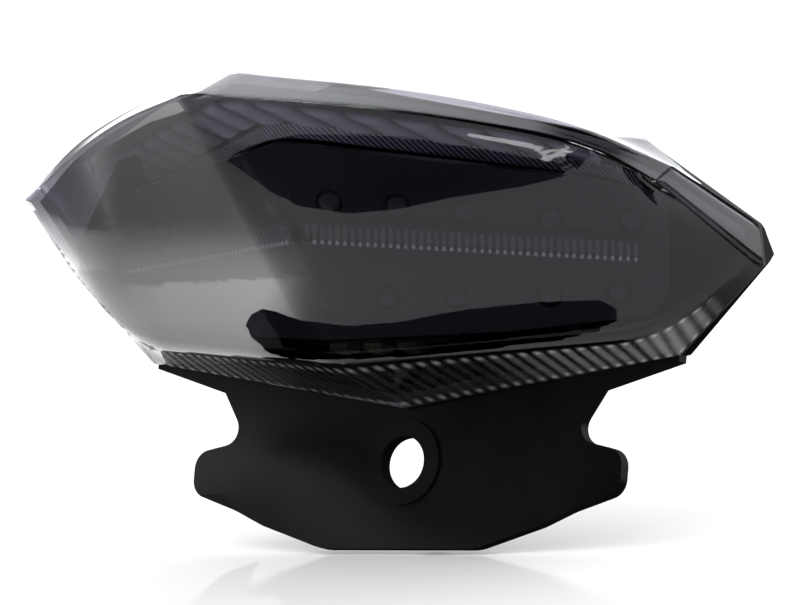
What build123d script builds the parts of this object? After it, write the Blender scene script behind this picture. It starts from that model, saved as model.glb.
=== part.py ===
from build123d import *
import os
from math import cos, sin, radians, hypot

# ---------------------------------------------------------------------------
# Integrated LED tail light with a mounting tongue. Millimetres, +Z up.
# Origin: centre of the tongue's bolt hole, on the tongue's front face.
# -Y is the side the light shines to, +X is to the right seen from there.
# The tongue leans TILT degrees, its top towards +Y.
# Tongue coordinates: x across, y out of the back of the tongue, z up along it.
# at() turns them into the model's own frame.
# ---------------------------------------------------------------------------

os.makedirs("parts", exist_ok=True)

# ---- sizes shared by several pieces ----
TILT = 20.0
LENS_WALL = 2.5
LENS_TIP_WALL = 1.6       # side walls at the tip section
CASE_WALL = 2.5
CASE_TIP_WALL = 1.5
SEAL_T = 0.8
TONGUE_T = 3.0
PANEL_T = 2.0             # reflector panel
BOARD_T = 1.6
BOARD_BACK = 7.0          # from the reflector's front to the board's front
FIT = 0.02                # clearance under screw heads, resistors and screw seals
LED_R = 2.5
POST_R = 3.5              # reflector posts, screwed to the case
POST_TOP_Y = -1.2
INSERT_R = 3.5
INSERT_FACE_Y = 3.0
PAD_Y = 6.3               # outer face of the screw and grommet pads
VENT_PAD_Y = 7.2
RECESS_FLOOR_Y = 1.6      # floor of the housing-screw recesses
CABLE_R = 2.75
WIRE_R = 0.65

# ---- frame and planes ----
TILT_COS, TILT_SIN = cos(radians(TILT)), sin(radians(TILT))


def at(x, y, z):
    """Tongue coordinates as a vector in the model's frame."""
    return Vector(x, TILT_COS * y + TILT_SIN * z, -TILT_SIN * y + TILT_COS * z)


UP = at(0, 0, 1)
BACK = at(0, 1, 0)
FRONT = at(0, -1, 0)
TONGUE = Plane(origin=(0, 0, 0), x_dir=(1, 0, 0), z_dir=FRONT)


def cross_plane(x):
    """Plane across the light at x. Its local axes are tongue y and z."""
    return Plane(origin=(x, 0, 0), x_dir=BACK, z_dir=(1, 0, 0))


def facing_back(y):
    """Plane square to the tongue's thickness at y, looking out of the back."""
    return Plane(origin=at(0, y, 0), x_dir=(-1, 0, 0), z_dir=BACK)


def facing_up(x, y, z):
    """Plane square to the tongue's height, looking up."""
    return Plane(origin=at(x, y, z), x_dir=(1, 0, 0), z_dir=UP)


def both(points):
    """Each tongue x, z place with its twin on the left."""
    return [place for x, z in points for place in ((x, z), (-x, z))]


def back_xy(points):
    """Tongue x, z places as local places on facing_back planes."""
    return [(-x, z) for x, z in points]


# ---- outline tools ----
def inset(points, walls):
    """Move each side of a closed polygon inwards by its own wall."""
    sides = list(zip(points, points[1:] + points[:1]))
    doubled_area = sum(x1 * y2 - x2 * y1 for (x1, y1), (x2, y2) in sides)
    turn = 1.0 if doubled_area > 0 else -1.0
    lines = []                # point on the moved side, then its direction
    for ((x1, y1), (x2, y2)), wall in zip(sides, walls):
        length = hypot(x2 - x1, y2 - y1)
        dir_x, dir_y = (x2 - x1) / length, (y2 - y1) / length
        lines.append((x1 - dir_y * turn * wall, y1 + dir_x * turn * wall, dir_x, dir_y))
    corners = []
    for before, after in zip(lines[-1:] + lines[:-1], lines):
        x1, y1, dx1, dy1 = before
        x2, y2, dx2, dy2 = after
        along = ((x2 - x1) * dy2 - (y2 - y1) * dx2) / (dx1 * dy2 - dy1 * dx2)
        corners.append((x1 + dx1 * along, y1 + dy1 * along))
    return corners


def hollow(outline, wall, rim_overrun):
    """Inset every side by wall, but push the last side, the rim, outwards."""
    return inset(outline, [wall] * (len(outline) - 1) + [-rim_overrun])


def seal_back(skin):
    """Lower and upper rim points of a skin, moved back by the seal's thickness."""
    low, top = skin[0], skin[-1]
    dx, dy = top[0] - low[0], top[1] - low[1]
    length = hypot(dx, dy)
    shift_x, shift_y = dy / length * SEAL_T, -dx / length * SEAL_T
    return (low[0] + shift_x, low[1] + shift_y), (top[0] + shift_x, top[1] + shift_y)


def seal_outline(skin):
    low, top = seal_back(skin)
    return [skin[0], skin[-1], top, low]


def case_outline(skin, back):
    low, top = seal_back(skin)
    return [low] + back + [top]


# ---- skin of the light, as sections from the middle to the right tip ----
# Points of a section, in order: lower rim, lower front edge, ridge, roof crest, upper rim.
SHOULDER_X = 73.3
MID_SKIN = [(-1.6, 12.3), (-32.0, 17.3), (-96.2, 67.6), (-82.5, 75.4), (-40.0, 80.5)]     # y, z
SHOULDER_SKIN = [(-1.0, 23.7), (-10.5, 26.9), (-42.8, 62.4), (-42.0, 66.6), (-22.0, 68.5)]
TIP_POINTS = [                                                                        # x, y, z
    (95.3, -3.8, 43.3), (94.6, -8.0, 44.6), (87.4, -38.0, 56.2),
    (88.6, -33.0, 60.4), (94.6, -6.0, 52.4),
]

# The tip plane passes through the lower rim, the ridge and the upper rim.
tip_low, _, tip_ridge, _, tip_top = [at(*point) for point in TIP_POINTS]
tip_normal = (tip_low - tip_ridge).cross(tip_top - tip_ridge).normalized()
TIP = Plane(
    origin=tip_ridge,
    x_dir=(BACK - tip_normal * BACK.dot(tip_normal)).normalized(),
    z_dir=tip_normal,
)


def tip_local(point):
    local = TIP.to_local_coords(at(*point))
    return (local.X, local.Y)


TIP_SKIN = [tip_local(point) for point in TIP_POINTS]
SKINS = (MID_SKIN, SHOULDER_SKIN, TIP_SKIN)

# Back of the case, from the lower rim to the upper rim.
tip_rim_low, tip_rim_top = seal_back(TIP_SKIN)
CASES = (
    case_outline(MID_SKIN, [(5.0, 13.4), (9.0, 22.0), (2.0, 56.0), (-18.0, 75.6)]),
    case_outline(SHOULDER_SKIN, [(3.6, 24.6), (6.0, 30.0), (2.4, 52.0), (-8.0, 64.2)]),
    case_outline(TIP_SKIN, [
        (tip_rim_low[0] + 1.2, tip_rim_low[1] + 1.0),
        (tip_rim_low[0] + 2.4, tip_rim_low[1] + 2.9),
        (tip_rim_top[0] + 2.4, tip_rim_top[1] - 2.9),
        (tip_rim_top[0] + 1.2, tip_rim_top[1] - 1.0),
    ]),
)


def sections(outlines, tip_shift=0.0):
    """Pair the middle, shoulder and tip outlines with their planes."""
    planes = (cross_plane(0), cross_plane(SHOULDER_X), TIP.offset(-tip_shift))
    return list(zip(planes, outlines))


def hollow_sections(outlines, wall, tip_wall, overruns):
    walls = (wall, wall, tip_wall)
    return sections([hollow(*row) for row in zip(outlines, walls, overruns)], wall)


LENS_OUT = sections(SKINS)
LENS_IN = hollow_sections(SKINS, LENS_WALL, LENS_TIP_WALL, overruns=(4.0, 4.0, 3.0))
SEAL_OUT = sections([seal_outline(skin) for skin in SKINS])
CASE_OUT = sections(CASES)
CASE_IN = hollow_sections(CASES, CASE_WALL, CASE_TIP_WALL, overruns=(3.0, 3.0, 3.0))

# ---- reflector plane on the right half ----
# Local u runs outwards along the panel, local w runs up it, +z looks out of the front.
FOOT_Y, FOOT_Z = -33.0, 18.6                           # plane's foot on the middle line
SETBACK = 2.5                                          # from the foot into the case
NORMAL_X, NORMAL_Y, NORMAL_Z = 0.347, 0.766, 0.541     # sizes of the normal's components
into_case = at(-NORMAL_X, NORMAL_Y, NORMAL_Z).normalized()
REFL = Plane(
    origin=at(0, FOOT_Y, FOOT_Z) + into_case * SETBACK,
    x_dir=at(NORMAL_Y, NORMAL_X, 0.0).normalized(),
    z_dir=into_case * -1,
)
BOARD = REFL.offset(-BOARD_BACK)
BOARD_REAR = REFL.offset(-BOARD_BACK - BOARD_T)
CREASE, LEAN = 0.955, 0.245


def crease_u(w):
    """u of the light's middle line at height w."""
    return CREASE - LEAN * w


def board_rear_y(x, z, gap):
    """Tongue y at a gap behind the rear of a lamp board."""
    depth = SETBACK + BOARD_BACK + BOARD_T + gap
    return FOOT_Y + (depth + NORMAL_X * abs(x) - NORMAL_Z * (z - FOOT_Z)) / NORMAL_Y


# Places on the reflector, u and w.
UPPER_LEDS = [(0.4, 37.2), (16.0, 37.2), (31.5, 36.6), (50.8, 36.0), (69.1, 36.6)]
LOWER_LEDS = [(13.4, 14.8), (29.0, 15.9), (50.5, 17.7), (66.2, 19.4)]
SURFACE_LED = UPPER_LEDS[0]                            # has no leads through the board
BRAKE_LEDS, TAIL_LEDS = UPPER_LEDS[1:3], LOWER_LEDS[:2]
TURN_LEDS = UPPER_LEDS[3:] + LOWER_LEDS[2:]
BOARD_SCREWS = [(7.5, 26.5), (41.0, 27.0), (73.0, 28.6)]
PEGS = [(12.5, 30.4), (49.5, 30.4)]
PILOT_R = 0.95                                         # for the board and plate-board screws
LEAD_OFFSET = 1.27

# Places on facing_back planes, from tongue x and z.
POSTS_XZ = [(25.0, 45.5), (57.5, 45.5)]
GROMMET_X, GROMMET_Z = -12.0, 46.0
RIGHT_POSTS = back_xy(POSTS_XZ)
POSTS = back_xy(both(POSTS_XZ))
INSERTS = back_xy(both([(48.0, 58.0)]))
VENT = back_xy([(42.0, 33.0)])
GROMMET = back_xy([(GROMMET_X, GROMMET_Z)])

# Number-plate lamp board, lying on two ledges of the housing.
LEDGE_TOP = 25.0
LEDGE_W, LEDGE_H = 6.0, 3.6
PLATE_Y = -14.0
PLATE_SCREW_X, PLATE_SCREW_Y = 18.0, 1.5               # from the board's centre
PLATE_BOARD = facing_up(0, PLATE_Y, LEDGE_TOP + 0.05)
PLATE_SCREWS = [(PLATE_SCREW_X, PLATE_SCREW_Y), (-PLATE_SCREW_X, PLATE_SCREW_Y)]


# ---- helpers that build or write whole pieces ----
def save(part, name):
    part.label = name
    export_step(part, f"parts/{name}.step")


def mirrored(part):
    with BuildPart() as twin:
        mirror(part, about=Plane.YZ)
    return twin.part


def lofted_shell(outside, inside):
    """Loft and mirror the outer sections, then cut the inner ones."""
    with BuildPart() as shell:
        for stations, mode in ((outside, Mode.ADD), (inside, Mode.SUBTRACT)):
            for plane, points in stations:
                with BuildSketch(plane):
                    with BuildLine():
                        Polyline(*points, close=True)
                    make_face()
            half = loft(ruled=True, mode=mode)
            mirror(half, about=Plane.YZ, mode=mode)
    return shell.part


def cross_screws(base, places, side, head, shank, slot, twins=False):
    """Screws with a cross slot. Heads rise from base towards side, +1 or -1.

    head: radius, start, height; shank: radius, start, length;
    slot: length, width, depth. Starts are measured from base towards side.
    """
    head_r, head_start, head_h = head
    shank_r, shank_start, shank_l = shank
    slot_l, slot_w, slot_depth = slot
    with BuildPart() as screws:
        with BuildSketch(base.offset(side * head_start)):
            with Locations(*places):
                Circle(head_r)
        extrude(amount=side * head_h)
        with BuildSketch(base.offset(side * shank_start)):
            with Locations(*places):
                Circle(shank_r)
        extrude(amount=-side * shank_l)
        with BuildSketch(base.offset(side * (head_start + head_h))):
            with Locations(*places):
                Rectangle(slot_l, slot_w)
                Rectangle(slot_w, slot_l)
        extrude(amount=-side * slot_depth, mode=Mode.SUBTRACT)
        if twins:
            mirror(about=Plane.YZ)
    return screws.part


# ---- outer lens, and the seal bead between the lens rim and the case rim ----
save(lofted_shell(LENS_OUT, LENS_IN), "outer_lens")
save(lofted_shell(SEAL_OUT, LENS_IN), "lens_seal")

# ---- rear housing: bowl, tongue with two ears, bosses, ledges ----
POST_PAD_R, GROMMET_PAD_R = 5.0, 8.5
VENT_PAD_R, INSERT_PAD_R = 5.5, 6.0
BOLT_HOLE_R = 6.0
BOLT_BOSS_R, BOLT_BOSS_H = 10.0, 0.8
EAR_X, NOTCH_X = 59.4, 45.3                # ear tips and the notches above them
FOOT_XS = (38.5, 46.5, 21.5)               # blunt corners of the lower edge
TONGUE_TOP = 24.4
TONGUE_OUTLINE = [                         # x, z of the right half
    (0, -20.0), (21.5, -20.0), (38.5, -14.7), (46.5, -11.2), (EAR_X, -7.0), (EAR_X, 2.4),
    (NOTCH_X, 5.4), (52.4, 16.6), (72.6, 22.6), (72.6, TONGUE_TOP), (0, TONGUE_TOP),
]


def near_x(*places):
    """Filter for vertices close to one of the given x places."""
    return lambda vertex: any(abs(vertex.X - x) < 0.1 for x in places)


with BuildPart() as rear_housing:
    for plane, points in CASE_OUT:
        with BuildSketch(plane):
            with BuildLine():
                Polyline(*points, close=True)
            make_face()
    case_half = loft(ruled=True)
    mirror(case_half, about=Plane.YZ)
    # outside pads on the sloping back wall
    with BuildSketch(facing_back(PAD_Y)):
        with Locations(*POSTS):
            Circle(POST_PAD_R)
        with Locations(*GROMMET):
            Circle(GROMMET_PAD_R)
    extrude(amount=-5.0)
    with BuildSketch(facing_back(VENT_PAD_Y)):
        with Locations(*VENT):
            Circle(VENT_PAD_R)
    extrude(amount=-4.0)
    with BuildSketch(facing_back(INSERT_FACE_Y)):
        with Locations(*INSERTS):
            Circle(INSERT_PAD_R)
    extrude(amount=-6.0)
    # hollow of the bowl
    for plane, points in CASE_IN:
        with BuildSketch(plane):
            with BuildLine():
                Polyline(*points, close=True)
            make_face()
    case_cut = loft(ruled=True, mode=Mode.SUBTRACT)
    mirror(case_cut, about=Plane.YZ, mode=Mode.SUBTRACT)
    # inside bosses
    with BuildSketch(facing_back(3.0)):
        with Locations(*POSTS):
            Circle(POST_PAD_R)
        with Locations(*GROMMET):
            Circle(GROMMET_PAD_R)
    extrude(amount=-4.0)
    with BuildSketch(facing_back(1.5)):
        with Locations(*INSERTS):
            Circle(INSERT_PAD_R)
    extrude(amount=-12.0)
    # ledges that carry the number-plate lamp board
    ledge_z = LEDGE_TOP - LEDGE_H / 2
    with BuildSketch(facing_back(4.6)):
        with Locations((PLATE_SCREW_X, ledge_z), (-PLATE_SCREW_X, ledge_z)):
            Rectangle(LEDGE_W, LEDGE_H)
    extrude(amount=-20.6)
    # tongue
    with BuildSketch(TONGUE):
        with BuildLine():
            Polyline(*TONGUE_OUTLINE, close=True)
        make_face()
        fillet(vertices().filter_by(near_x(EAR_X)), radius=4.4)
        fillet(vertices().filter_by(near_x(NOTCH_X)), radius=4.0)
        fillet(vertices().filter_by(near_x(*FOOT_XS)), radius=12.0)
        mirror(about=Plane.YZ)
    extrude(amount=-TONGUE_T)
    # boss round the bolt hole
    with BuildSketch(TONGUE.offset(BOLT_BOSS_H)):
        Circle(BOLT_BOSS_R)
    extrude(amount=-BOLT_BOSS_H - 0.5)
    # stiffening ribs behind the tongue
    with BuildSketch(TONGUE.offset(-TONGUE_T + 0.2)):
        with Locations((32.0, 3.0), (-32.0, 3.0)):
            Rectangle(2.2, 26.0)
        with Locations((0, -15.5)):
            Rectangle(52.0, 2.0)
    extrude(amount=-2.7)
    # bolt hole
    with BuildSketch(TONGUE.offset(BOLT_BOSS_H + 0.5)):
        Circle(BOLT_HOLE_R)
    extrude(amount=-12.0, mode=Mode.SUBTRACT)
    # screw recesses, then screw and cable holes
    with BuildSketch(facing_back(PAD_Y)):
        with Locations(*POSTS):
            Circle(3.8)
    extrude(amount=RECESS_FLOOR_Y - PAD_Y, mode=Mode.SUBTRACT)
    with BuildSketch(facing_back(PAD_Y)):
        with Locations(*POSTS):
            Circle(1.75)
        with Locations(*GROMMET):
            Circle(5.25)
    extrude(amount=-9.5, mode=Mode.SUBTRACT)
    # vent hole
    with BuildSketch(facing_back(VENT_PAD_Y)):
        with Locations(*VENT):
            Circle(2.6)
    extrude(amount=-9.0, mode=Mode.SUBTRACT)
    # insert pockets
    with BuildSketch(facing_back(INSERT_FACE_Y)):
        with Locations(*INSERTS):
            Circle(INSERT_R)
    extrude(amount=-9.5, mode=Mode.SUBTRACT)
    # pilot holes in the ledges
    with BuildSketch(facing_up(0, PLATE_Y + PLATE_SCREW_Y, LEDGE_TOP)):
        with Locations((PLATE_SCREW_X, 0), (-PLATE_SCREW_X, 0)):
            Circle(PILOT_R)
    extrude(amount=-5.0, mode=Mode.SUBTRACT)
save(rear_housing.part, "rear_housing")

# ---- reflector: V panel with lamp holes, board bosses and posts ----
PANEL_LOW, PANEL_TOP = 3.6, 51.0           # w on the middle line
PANEL_OUTLINE = [                          # u, w of the right half
    (crease_u(PANEL_LOW), PANEL_LOW), (40.0, 8.0), (73.5, 14.0), (77.5, 20.0), (77.5, 39.0),
    (74.5, 43.6), (53.0, 46.8), (crease_u(PANEL_TOP), PANEL_TOP),
]
with BuildPart() as reflector:
    # posts, later cut off at the panel's front
    with BuildSketch(facing_back(POST_TOP_Y)):
        with Locations(*RIGHT_POSTS):
            Circle(POST_R)
    extrude(amount=-46.0)
    # board bosses
    with BuildSketch(BOARD):
        with Locations(*BOARD_SCREWS):
            Circle(2.6)
    extrude(amount=BOARD_BACK)
    with BuildSketch(REFL):
        with BuildLine():
            Polyline(*PANEL_OUTLINE, close=True)
        make_face()
    extrude(amount=-PANEL_T)
    split(bisect_by=REFL, keep=Keep.BOTTOM)
    # lamp holes and peg holes
    with BuildSketch(REFL):
        with Locations(*(UPPER_LEDS + LOWER_LEDS)):
            Circle(3.1)
        with Locations(*PEGS):
            Circle(1.3)
    extrude(amount=-PANEL_T - 0.5, mode=Mode.SUBTRACT)
    # pilot holes in the bosses and posts
    with BuildSketch(BOARD):
        with Locations(*BOARD_SCREWS):
            Circle(PILOT_R)
    extrude(amount=5.5, mode=Mode.SUBTRACT)
    with BuildSketch(facing_back(POST_TOP_Y)):
        with Locations(*RIGHT_POSTS):
            Circle(1.5)
    extrude(amount=-12.0, mode=Mode.SUBTRACT)
    mirror(about=Plane.YZ)
save(reflector.part, "reflector")

# ---- centre light strip: grooved bar with pegs through the reflector ----
STRIP_LOW, STRIP_TOP, STRIP_END = 27.5, 33.0, 71.0     # w, w, u
STRIP_T = 2.6
STRIP_OVERRUN = 4.0                        # past the middle line, trimmed later
GROOVE_START, GROOVE_PITCH, GROOVE_COUNT = -6.4, 1.92, 41
with BuildPart() as centre_light_strip:
    with BuildSketch(REFL):
        with BuildLine():
            Polyline(
                (crease_u(STRIP_LOW) - STRIP_OVERRUN, STRIP_LOW),
                (STRIP_END, STRIP_LOW),
                (STRIP_END, STRIP_TOP),
                (crease_u(STRIP_TOP) - STRIP_OVERRUN, STRIP_TOP),
                close=True,
            )
        make_face()
    extrude(amount=STRIP_T)
    with BuildSketch(REFL.offset(STRIP_T)):
        with Locations(*[(GROOVE_START + GROOVE_PITCH * i, 31.2) for i in range(GROOVE_COUNT)]):
            Rectangle(0.8, 3.2)
    extrude(amount=-0.6, mode=Mode.SUBTRACT)
    with BuildSketch(REFL.offset(0.3)):
        with Locations(*PEGS):
            Circle(1.2)
    extrude(amount=-PANEL_T - 1.3)
    # trim at the middle
    with BuildSketch(Plane.YZ):
        Rectangle(400, 400)
    extrude(amount=-40, mode=Mode.SUBTRACT)
    mirror(about=Plane.YZ)
save(centre_light_strip.part, "centre_light_strip")

# ---- upper light guide: shelf under the roof with a hooked rear lip ----
GUIDE_MID = [                              # y, z of the middle section
    (-82.0, 69.2), (-64.8, 67.8), (-60.6, 67.8), (-60.6, 64.9),
    (-62.2, 64.9), (-62.2, 66.2), (-64.8, 66.2), (-82.0, 67.6),
]
GUIDE_END_X = 58.0
GUIDE_RUN, GUIDE_DROP = 0.7164, 0.051      # back and down, per mm outwards
GUIDE_END = [(y + GUIDE_RUN * GUIDE_END_X, z - GUIDE_DROP * GUIDE_END_X) for y, z in GUIDE_MID]
with BuildPart() as upper_light_guide:
    for x, points in ((0, GUIDE_MID), (GUIDE_END_X, GUIDE_END)):
        with BuildSketch(cross_plane(x)):
            with BuildLine():
                Polyline(*points, close=True)
            make_face()
    guide_half = loft(ruled=True)
    mirror(guide_half, about=Plane.YZ)
save(upper_light_guide.part, "upper_light_guide")

# ---- lamp boards ----
BOARD_LOW, BOARD_TOP, BOARD_INNER = 11.0, 42.0, 5.5
BOARD_OUTLINE = [                          # u, w
    (BOARD_INNER - LEAN * BOARD_LOW, BOARD_LOW), (62.0, 11.0), (73.0, 16.5), (76.0, 24.0),
    (76.0, 36.0), (72.0, 41.0), (BOARD_INNER - LEAN * BOARD_TOP, BOARD_TOP),
]
LEAD_HOLES = [
    (u + offset, w)
    for u, w in UPPER_LEDS[1:] + LOWER_LEDS
    for offset in (-LEAD_OFFSET, LEAD_OFFSET)
]
with BuildPart() as led_board:
    with BuildSketch(BOARD):
        with BuildLine():
            Polyline(*BOARD_OUTLINE, close=True)
        make_face()
        with Locations(*LEAD_HOLES):
            Circle(0.4, mode=Mode.SUBTRACT)
        with Locations(*BOARD_SCREWS):
            Circle(1.3, mode=Mode.SUBTRACT)
    extrude(amount=-BOARD_T)
    # clearance for the posts
    with BuildSketch(facing_back(10.0)):
        with Locations(*RIGHT_POSTS):
            Circle(POST_R + 0.5)
    extrude(amount=-80.0, mode=Mode.SUBTRACT)
save(led_board.part, "led_board_right")
save(mirrored(led_board.part), "led_board_left")

# ---- 5 mm lamps: flange, body and dome, most with two leads ----
LED_BASE, LED_BODY_H = 0.5, 5.6


def single_led(has_leads):
    with BuildPart() as lamp:
        with BuildSketch(Plane.XY.offset(0.05)):
            Circle(LED_R + 0.4)
        extrude(amount=1.0)
        with BuildSketch(Plane.XY.offset(LED_BASE)):
            Circle(LED_R)
        extrude(amount=LED_BODY_H)
        with Locations((0, 0, LED_BASE + LED_BODY_H)):
            Sphere(LED_R)
        if has_leads:
            with BuildSketch(Plane.XY.offset(0.3)):
                with Locations((-LEAD_OFFSET, 0), (LEAD_OFFSET, 0)):
                    Circle(0.25)
            extrude(amount=-BOARD_T - 1.6)
    return lamp.part


def on_board(places):
    return [BOARD.location * Location((u, w, 0)) for u, w in places]


led = single_led(has_leads=True)
led_flat = single_led(has_leads=False)

with BuildPart() as brake_leds:
    with Locations(*on_board(BRAKE_LEDS)):
        add(led)
    with Locations(*on_board([SURFACE_LED])):
        add(led_flat)
    mirror(about=Plane.YZ)
save(brake_leds.part, "brake_leds")

with BuildPart() as tail_leds:
    with Locations(*on_board(TAIL_LEDS)):
        add(led)
    mirror(about=Plane.YZ)
save(tail_leds.part, "tail_leds")

with BuildPart() as turn_leds:
    with Locations(*on_board(TURN_LEDS)):
        add(led)
save(turn_leds.part, "turn_leds_right")
save(mirrored(turn_leds.part), "turn_leds_left")

# ---- resistors on the backs of the boards ----
with BuildPart() as resistors:
    with BuildSketch(BOARD_REAR.offset(-FIT)):
        with Locations((14.5, 27.0), (34.0, 27.0), (47.5, 27.0), (51.5, 27.0)):
            Rectangle(1.6, 3.2)
    extrude(amount=-0.6)
save(resistors.part, "resistors_right")
save(mirrored(resistors.part), "resistors_left")

# ---- screws: boards to reflector, reflector to housing ----
save(cross_screws(
    BOARD_REAR, BOARD_SCREWS, side=-1, twins=True,
    head=(2.1, FIT, 1.5), shank=(0.9, 0.3, 6.2), slot=(2.4, 0.5, 0.7),
), "board_screws")

SCREW_SEAL_Y = RECESS_FLOOR_Y + FIT
SCREW_SEAL_T = 0.8
save(cross_screws(
    facing_back(0), POSTS, side=1,
    head=(3.2, SCREW_SEAL_Y + SCREW_SEAL_T + 0.03, 2.2),
    shank=(1.45, 2.6, 14.6), slot=(3.6, 0.7, 1.1),
), "housing_screws")

with BuildPart() as screw_seals:
    with BuildSketch(facing_back(SCREW_SEAL_Y)):
        with Locations(*POSTS):
            Circle(3.5)
            Circle(1.6, mode=Mode.SUBTRACT)
    extrude(amount=SCREW_SEAL_T)
save(screw_seals.part, "screw_seals")

# ---- number-plate lamp: board, lamps on its underside, screws ----
PLATE_LED_PITCH = 9.5
PLATE_LEDS = [(-PLATE_LED_PITCH, 0), (0, 0), (PLATE_LED_PITCH, 0)]
with BuildPart() as plate_light_board:
    with BuildSketch(PLATE_BOARD):
        Rectangle(44.0, 11.0)
        with Locations(*PLATE_SCREWS):
            Circle(1.2, mode=Mode.SUBTRACT)
    extrude(amount=BOARD_T)
save(plate_light_board.part, "plate_light_board")

with BuildPart() as plate_light_leds:
    with BuildSketch(PLATE_BOARD.offset(-0.05)):
        with Locations(*PLATE_LEDS):
            Rectangle(5.0, 5.0)
    extrude(amount=-1.4)
    with BuildSketch(PLATE_BOARD.offset(-1.3)):
        with Locations(*PLATE_LEDS):
            Circle(1.9)
    extrude(amount=-0.7)
save(plate_light_leds.part, "plate_light_leds")

save(cross_screws(
    PLATE_BOARD.offset(BOARD_T), PLATE_SCREWS, side=1,
    head=(2.0, FIT, 1.4), shank=(0.9, 0.2, 6.0), slot=(2.2, 0.5, 0.6),
), "plate_board_screws")

# ---- M5 inserts for the body's rear screws, grooved round the outside ----
with BuildPart() as mounting_inserts:
    with BuildSketch(facing_back(INSERT_FACE_Y - 0.1)):
        with Locations(*INSERTS):
            Circle(INSERT_R - 0.03)
            Circle(2.1, mode=Mode.SUBTRACT)            # M5 thread, minor radius
    extrude(amount=-9.0)
    with BuildSketch(facing_back(-1.2)):
        with Locations(*INSERTS):
            Circle(INSERT_R + 0.2)
            Circle(INSERT_R - 0.35, mode=Mode.SUBTRACT)
    extrude(amount=-0.8, mode=Mode.SUBTRACT)
save(mounting_inserts.part, "mounting_inserts")

# ---- breather vent: cap with six dimples and a hollow stem ----
VENT_CAP_Y = VENT_PAD_Y + 0.05
VENT_CAP_T = 2.0
with BuildPart() as vent_cap:
    with BuildSketch(facing_back(VENT_CAP_Y)):
        with Locations(*VENT):
            Circle(4.8)
    extrude(amount=VENT_CAP_T)
    with BuildSketch(facing_back(7.4)):
        with Locations(*VENT):
            Circle(2.55)
            Circle(1.4, mode=Mode.SUBTRACT)
    extrude(amount=-5.4)
    with BuildSketch(facing_back(VENT_CAP_Y + VENT_CAP_T)):
        with Locations(*VENT):
            with PolarLocations(3.1, 6):
                Circle(0.5)
    extrude(amount=-1.0, mode=Mode.SUBTRACT)
    # round the rearmost of the longest edges, the cap's outer rim
    longest = edges().group_by(SortBy.LENGTH)[-1]
    fillet(longest.sort_by(Axis(origin=(0, 0, 0), direction=BACK))[-1:], radius=0.6)
save(vent_cap.part, "vent_cap")

# ---- cable grommet: outer flange, tapered collar, neck, inner flange, bore ----
with BuildPart() as cable_grommet:
    with BuildSketch(facing_back(PAD_Y + 0.05)):
        with Locations(*GROMMET):
            Circle(7.6)
    extrude(amount=1.8)
    with BuildSketch(facing_back(PAD_Y + 1.0)):
        with Locations(*GROMMET):
            Circle(4.6)
    extrude(amount=6.0, taper=6)
    with BuildSketch(facing_back(PAD_Y + 0.2)):
        with Locations(*GROMMET):
            Circle(5.2)
    extrude(amount=-PAD_Y - 1.5)
    with BuildSketch(facing_back(-1.05)):
        with Locations(*GROMMET):
            Circle(6.6)
    extrude(amount=-1.6)
    with BuildSketch(facing_back(14.0)):
        with Locations(*GROMMET):
            Circle(CABLE_R + 0.05)
    extrude(amount=-20.0, mode=Mode.SUBTRACT)
save(cable_grommet.part, "cable_grommet")

# ---- cable jacket: straight through the grommet, then bending left ----
JACKET_START_Y, JACKET_BEND_Y = -6.0, 15.0
JACKET_END_X, JACKET_END_Y, JACKET_END_Z = -38.0, 33.0, 37.6
with BuildPart() as cable_jacket:
    with BuildLine() as jacket_path:
        straight = Line(
            at(GROMMET_X, JACKET_START_Y, GROMMET_Z), at(GROMMET_X, JACKET_BEND_Y, GROMMET_Z)
        )
        Spline(
            at(GROMMET_X, JACKET_BEND_Y, GROMMET_Z),
            at(GROMMET_X - 3.5, 25.0, GROMMET_Z - 1.4),
            at(GROMMET_X - 13.0, 32.0, GROMMET_Z - 5.4),
            at(JACKET_END_X, JACKET_END_Y, JACKET_END_Z),
            tangents=((straight % 1), at(-1.0, 0.04, -0.12).normalized()),
        )
    with BuildSketch(Plane(origin=straight @ 0, x_dir=(1, 0, 0), z_dir=straight % 0)):
        Circle(CABLE_R)
    sweep(path=jacket_path.line)
save(cable_jacket.part, "cable_jacket")

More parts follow.
